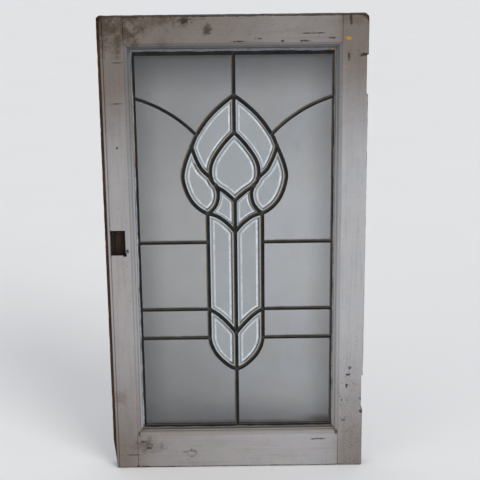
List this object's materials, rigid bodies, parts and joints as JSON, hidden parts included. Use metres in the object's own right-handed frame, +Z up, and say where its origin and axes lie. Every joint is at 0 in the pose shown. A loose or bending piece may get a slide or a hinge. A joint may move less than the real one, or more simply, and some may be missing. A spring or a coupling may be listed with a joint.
{
  "type": "leaded glass casement window sash",
  "caption": "Side-hung casement sash in worn painted wood, holding a leaded panel of clear and bevelled glass with a flame ornament; it hangs from its hinge edge.",
  "frame": {"origin": "middle of the outer edge face of the hinge stile: mid-height and mid-thickness, at the part's mounting edge", "axes": "+Z up along the stiles; +X out of the hinge edge, away from the sash, so the sash runs from X 0 to X -0.508; -Y out of the moulded front face, +Y out of the puttied back"},
  "size_m": [0.508, 0.035, 0.9144],
  "materials": {
    "painted_wood": "worn satin paint, bare brown wood at the lip and housings",
    "putty": "matt chalky putty, painted over",
    "lead": "dark oxidised lead with soldered joints",
    "sheet_glass": "clear sheet glass",
    "bevelled_plate_glass": "clear plate glass with polished bevels"
  },
  "bodies": {
    "root": {"lock_stile": "painted_wood", "hinge_stile": "painted_wood", "top_rail": "painted_wood", "bottom_rail": "painted_wood", "glazing_putty": "putty", "lead_cames": "lead", "top_pane_left": "sheet_glass", "top_pane_right": "sheet_glass", "side_pane_left": "sheet_glass", "side_pane_right": "sheet_glass", "upper_row_pane_left": "sheet_glass", "upper_row_pane_right": "sheet_glass", "lower_row_pane_left": "sheet_glass", "lower_row_pane_right": "sheet_glass", "bottom_pane_left": "sheet_glass", "bottom_pane_right": "sheet_glass", "upper_petal_left": "bevelled_plate_glass", "upper_petal_right": "bevelled_plate_glass", "lower_petal_left": "bevelled_plate_glass", "lower_petal_right": "bevelled_plate_glass", "heel_left": "bevelled_plate_glass", "heel_right": "bevelled_plate_glass", "column_left": "bevelled_plate_glass", "column_right": "bevelled_plate_glass", "leaf_left": "bevelled_plate_glass", "leaf_right": "bevelled_plate_glass", "teardrop": "bevelled_plate_glass"}
  },
  "joints": []
}
